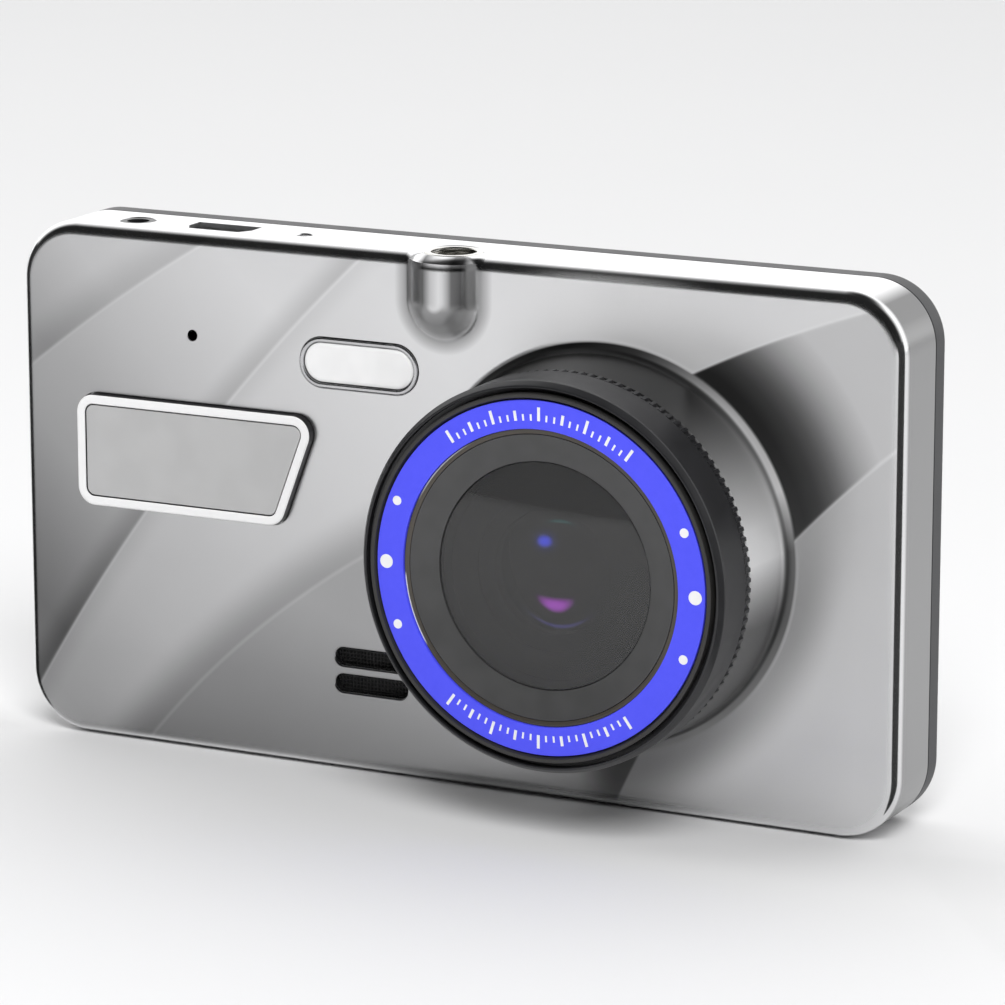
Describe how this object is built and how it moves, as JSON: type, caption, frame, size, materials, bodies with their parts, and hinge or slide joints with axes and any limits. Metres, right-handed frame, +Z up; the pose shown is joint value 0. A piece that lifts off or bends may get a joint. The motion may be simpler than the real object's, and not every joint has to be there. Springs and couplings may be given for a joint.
{
  "type": "dash camera",
  "caption": "Flat metal-fronted dash camera with a round knurled lens turret, rear screen and keys, and top-edge sockets.",
  "frame": {"origin": "mouth of the bracket thread in the middle of the top edge, where the camera hangs from its windscreen bracket", "axes": "+X to the right as seen from the front, lens towards -Y, +Z up out of the bracket thread"},
  "size_m": [0.11, 0.0297, 0.0608],
  "materials": {
    "case_metal": "bright satin silver coating over cast metal, smooth",
    "rear_plastic": "fine spark-eroded texture, black",
    "plated_steel": "bright nickel plate",
    "black_steel": "black oxide",
    "ring_black": "satin black anodised",
    "tube_black": "satin black",
    "ring_blue": "saturated blue print with white marks",
    "ring_bronze": "dark warm grey, satin",
    "cone_grey": "dark grey, semi-matt",
    "glass_clear": "flat polished, neutral coating",
    "glass_blue": "blue lens coating",
    "glass_magenta": "magenta lens coating",
    "glass_green": "green lens coating",
    "filter_glass": "infra-red cut coating",
    "sensor_chip": "polished silicon under glass",
    "board_green": "solder mask",
    "chip_black": "moulded epoxy",
    "part_grey": "ceramic and ferrite parts",
    "badge_white": "bright white",
    "badge_grey": "flat mid grey, satin",
    "lamp_rim": "bright plate",
    "lamp_white": "milky diffuser",
    "led_yellow": "phosphor resin",
    "mesh_black": "fine black acoustic mesh",
    "foam_black": "closed-cell foam",
    "speaker_metal": "pressed steel basket",
    "wire_red": "wire sleeve",
    "mic_rubber": "moulded boot",
    "mic_metal": "capsule",
    "socket_metal": "folded steel shell",
    "socket_black": "moulded insulator",
    "card_black": "plain card, no label",
    "cell_foil": "laminated foil pouch",
    "window_black": "glossy black screen window",
    "lcd_glass": "display glass",
    "backlight_metal": "pressed tray and light guide",
    "flex_amber": "polyimide film",
    "dome_metal": "snap domes",
    "key_black": "polished key caps"
  },
  "bodies": {
    "case": {"front_cover": "case_metal", "rear_shell": "rear_plastic", "bracket_insert": "plated_steel", "case_screws": "black_steel", "lens_tube": "tube_black", "marking_ring": "ring_blue", "retaining_ring": "ring_bronze", "lens_cone": "cone_grey", "cover_glass": "glass_clear", "light_baffle": "tube_black", "lens_holder": "tube_black", "ir_filter": "filter_glass", "image_sensor": "sensor_chip", "sensor_board": "board_green", "badge_frame": "badge_white", "badge_plate": "badge_grey", "lamp_rim_ring": "lamp_rim", "lamp_window": "lamp_white", "lamp_board": "board_green", "lamp_leds": "led_yellow", "speaker_mesh": "mesh_black", "speaker_gasket": "foam_black", "speaker": "speaker_metal", "speaker_lead": "wire_red", "mic_boot": "mic_rubber", "microphone": "mic_metal", "usb_socket": "socket_metal", "usb_tongue": "socket_black", "av_jack": "socket_black", "card_socket": "socket_metal", "reset_switch": "plated_steel", "main_board": "board_green", "processor": "chip_black", "memory_chip": "chip_black", "board_parts": "part_grey", "board_screws": "plated_steel", "battery": "cell_foil", "battery_lead": "wire_red", "screen_window": "window_black", "lcd_panel": "lcd_glass", "backlight": "backlight_metal", "lcd_flex": "flex_amber", "key_board_left": "board_green", "key_board_right": "board_green", "key_domes": "dome_metal"},
    "focus_group": {"focus_ring": "ring_black", "focus_pin": "plated_steel", "lens_barrel": "ring_black", "front_element": "glass_blue", "middle_element": "glass_magenta", "lens_spacer": "ring_black", "rear_element": "glass_green"},
    "power_key": {"power_button": "key_black"},
    "menu_key": {"menu_button": "key_black"},
    "mode_key": {"mode_button": "key_black"},
    "up_key": {"up_button": "key_black"},
    "down_key": {"down_button": "key_black"},
    "record_key": {"record_button": "key_black"},
    "reset_pin": {"reset_plunger": "chip_black"},
    "card": {"memory_card": "card_black"}
  },
  "joints": [
    {"name": "focus_turn", "type": "hinge", "parent": "case", "child": "focus_group", "pos_m": [0.0198, -0.0151, -0.0311], "axis": [0, -1, 0], "range_deg": [-25, 25]},
    {"name": "power_press", "type": "slide", "parent": "case", "child": "power_key", "axis": [0, -1, 0], "range_m": [0, 0.0004], "stiffness_N_per_m": 3000},
    {"name": "menu_press", "type": "slide", "parent": "case", "child": "menu_key", "axis": [0, -1, 0], "range_m": [0, 0.0004], "stiffness_N_per_m": 3000},
    {"name": "mode_press", "type": "slide", "parent": "case", "child": "mode_key", "axis": [0, -1, 0], "range_m": [0, 0.0004], "stiffness_N_per_m": 3000},
    {"name": "up_press", "type": "slide", "parent": "case", "child": "up_key", "axis": [0, -1, 0], "range_m": [0, 0.0004], "stiffness_N_per_m": 3000},
    {"name": "record_press", "type": "slide", "parent": "case", "child": "record_key", "axis": [0, -1, 0], "range_m": [0, 0.0004], "stiffness_N_per_m": 3000},
    {"name": "down_press", "type": "slide", "parent": "case", "child": "down_key", "axis": [0, -1, 0], "range_m": [0, 0.0004], "stiffness_N_per_m": 3000},
    {"name": "reset_press", "type": "slide", "parent": "case", "child": "reset_pin", "axis": [0, 1, 0], "range_m": [0, 0.00025], "stiffness_N_per_m": 3000},
    {"name": "card_pull", "type": "slide", "parent": "case", "child": "card", "axis": [-1, 0, 0], "range_m": [0, 0.015]}
  ]
}
